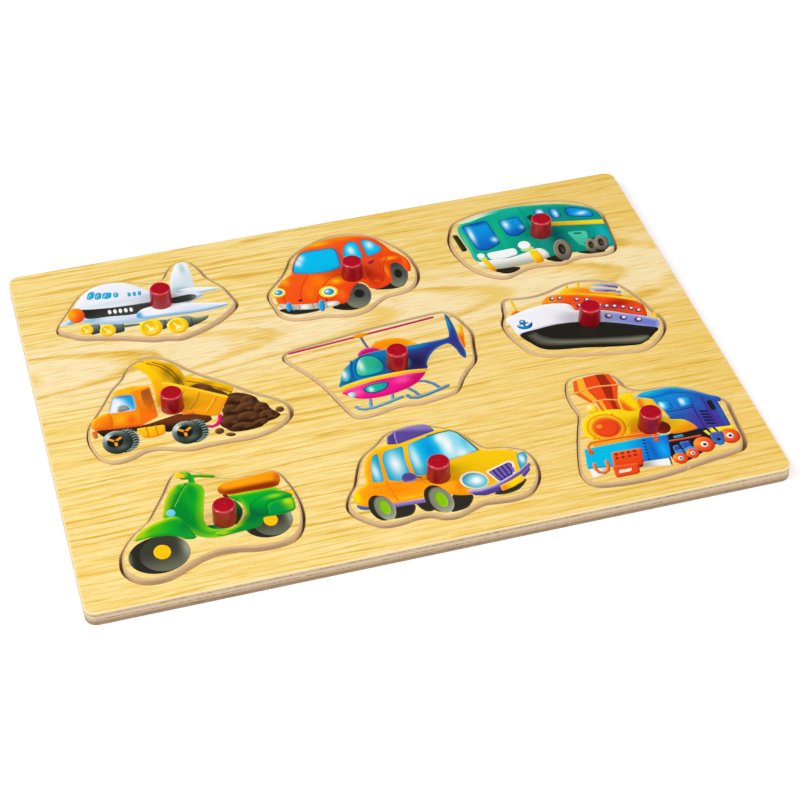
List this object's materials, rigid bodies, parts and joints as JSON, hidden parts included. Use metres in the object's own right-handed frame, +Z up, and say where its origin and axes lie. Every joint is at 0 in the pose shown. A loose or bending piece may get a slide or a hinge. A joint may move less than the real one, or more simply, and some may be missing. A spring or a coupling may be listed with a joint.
{
  "type": "peg puzzle",
  "caption": "Wooden inset puzzle board with loose vehicle picture tiles that lift out of shaped pockets by moulded knobs.",
  "frame": {"origin": "middle of the underside of the board", "axes": "+X along the board's length, +Y along its width away from the child, +Z up through the board towards the knobs"},
  "size_m": [0.3, 0.225, 0.0166],
  "materials": {
    "printed_wood": "glossy printed face on plywood",
    "back_wood": "raw",
    "knob_plastic": "glossy moulded"
  },
  "bodies": {
    "board": {"back_board": "back_wood", "face_board": "printed_wood"},
    "plane_piece": {"plane_tile": "printed_wood", "plane_knob": "knob_plastic"},
    "car_piece": {"car_tile": "printed_wood", "car_knob": "knob_plastic"},
    "bus_piece": {"bus_tile": "printed_wood", "bus_knob": "knob_plastic"},
    "dump_truck_piece": {"dump_truck_tile": "printed_wood", "dump_truck_knob": "knob_plastic"},
    "helicopter_piece": {"helicopter_tile": "printed_wood", "helicopter_knob": "knob_plastic"},
    "ship_piece": {"ship_tile": "printed_wood", "ship_knob": "knob_plastic"},
    "scooter_piece": {"scooter_tile": "printed_wood", "scooter_knob": "knob_plastic"},
    "taxi_piece": {"taxi_tile": "printed_wood", "taxi_knob": "knob_plastic"},
    "train_piece": {"train_tile": "printed_wood", "train_knob": "knob_plastic"}
  },
  "joints": [
    {"name": "plane_lift", "type": "slide", "parent": "board", "child": "plane_piece", "axis": [0, 0, 1], "range_m": [0, 0.03]},
    {"name": "car_lift", "type": "slide", "parent": "board", "child": "car_piece", "axis": [0, 0, 1], "range_m": [0, 0.03]},
    {"name": "bus_lift", "type": "slide", "parent": "board", "child": "bus_piece", "axis": [0, 0, 1], "range_m": [0, 0.03]},
    {"name": "dump_truck_lift", "type": "slide", "parent": "board", "child": "dump_truck_piece", "axis": [0, 0, 1], "range_m": [0, 0.03]},
    {"name": "helicopter_lift", "type": "slide", "parent": "board", "child": "helicopter_piece", "axis": [0, 0, 1], "range_m": [0, 0.03]},
    {"name": "ship_lift", "type": "slide", "parent": "board", "child": "ship_piece", "axis": [0, 0, 1], "range_m": [0, 0.03]},
    {"name": "scooter_lift", "type": "slide", "parent": "board", "child": "scooter_piece", "axis": [0, 0, 1], "range_m": [0, 0.03]},
    {"name": "taxi_lift", "type": "slide", "parent": "board", "child": "taxi_piece", "axis": [0, 0, 1], "range_m": [0, 0.03]},
    {"name": "train_lift", "type": "slide", "parent": "board", "child": "train_piece", "axis": [0, 0, 1], "range_m": [0, 0.03]}
  ]
}
